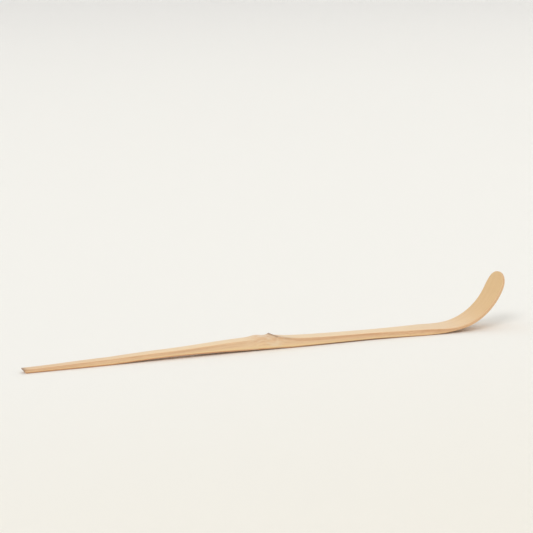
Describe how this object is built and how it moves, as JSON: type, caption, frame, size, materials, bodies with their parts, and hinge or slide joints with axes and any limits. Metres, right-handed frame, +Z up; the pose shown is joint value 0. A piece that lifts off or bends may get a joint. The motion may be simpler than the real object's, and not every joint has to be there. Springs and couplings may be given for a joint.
{
  "type": "bamboo tea scoop",
  "caption": "Slender bamboo scoop for powdered tea, carved from a single strip, with a node at mid-length and a narrow blade bent up at the end.",
  "frame": {"origin": "on the surface that the scoop lies on, midway between the cut butt and the tip, on the scoop's centre line", "axes": "+X along the stem from the cut butt towards the tip of the blade, +Z up, the way the blade turns up, +Y across the stem to the left of someone looking towards the tip"},
  "size_m": [0.18, 0.011, 0.0202],
  "materials": {
    "bamboo": "smooth carved bamboo with a satin skin"
  },
  "bodies": {
    "root": {"scoop": "bamboo"}
  },
  "joints": []
}
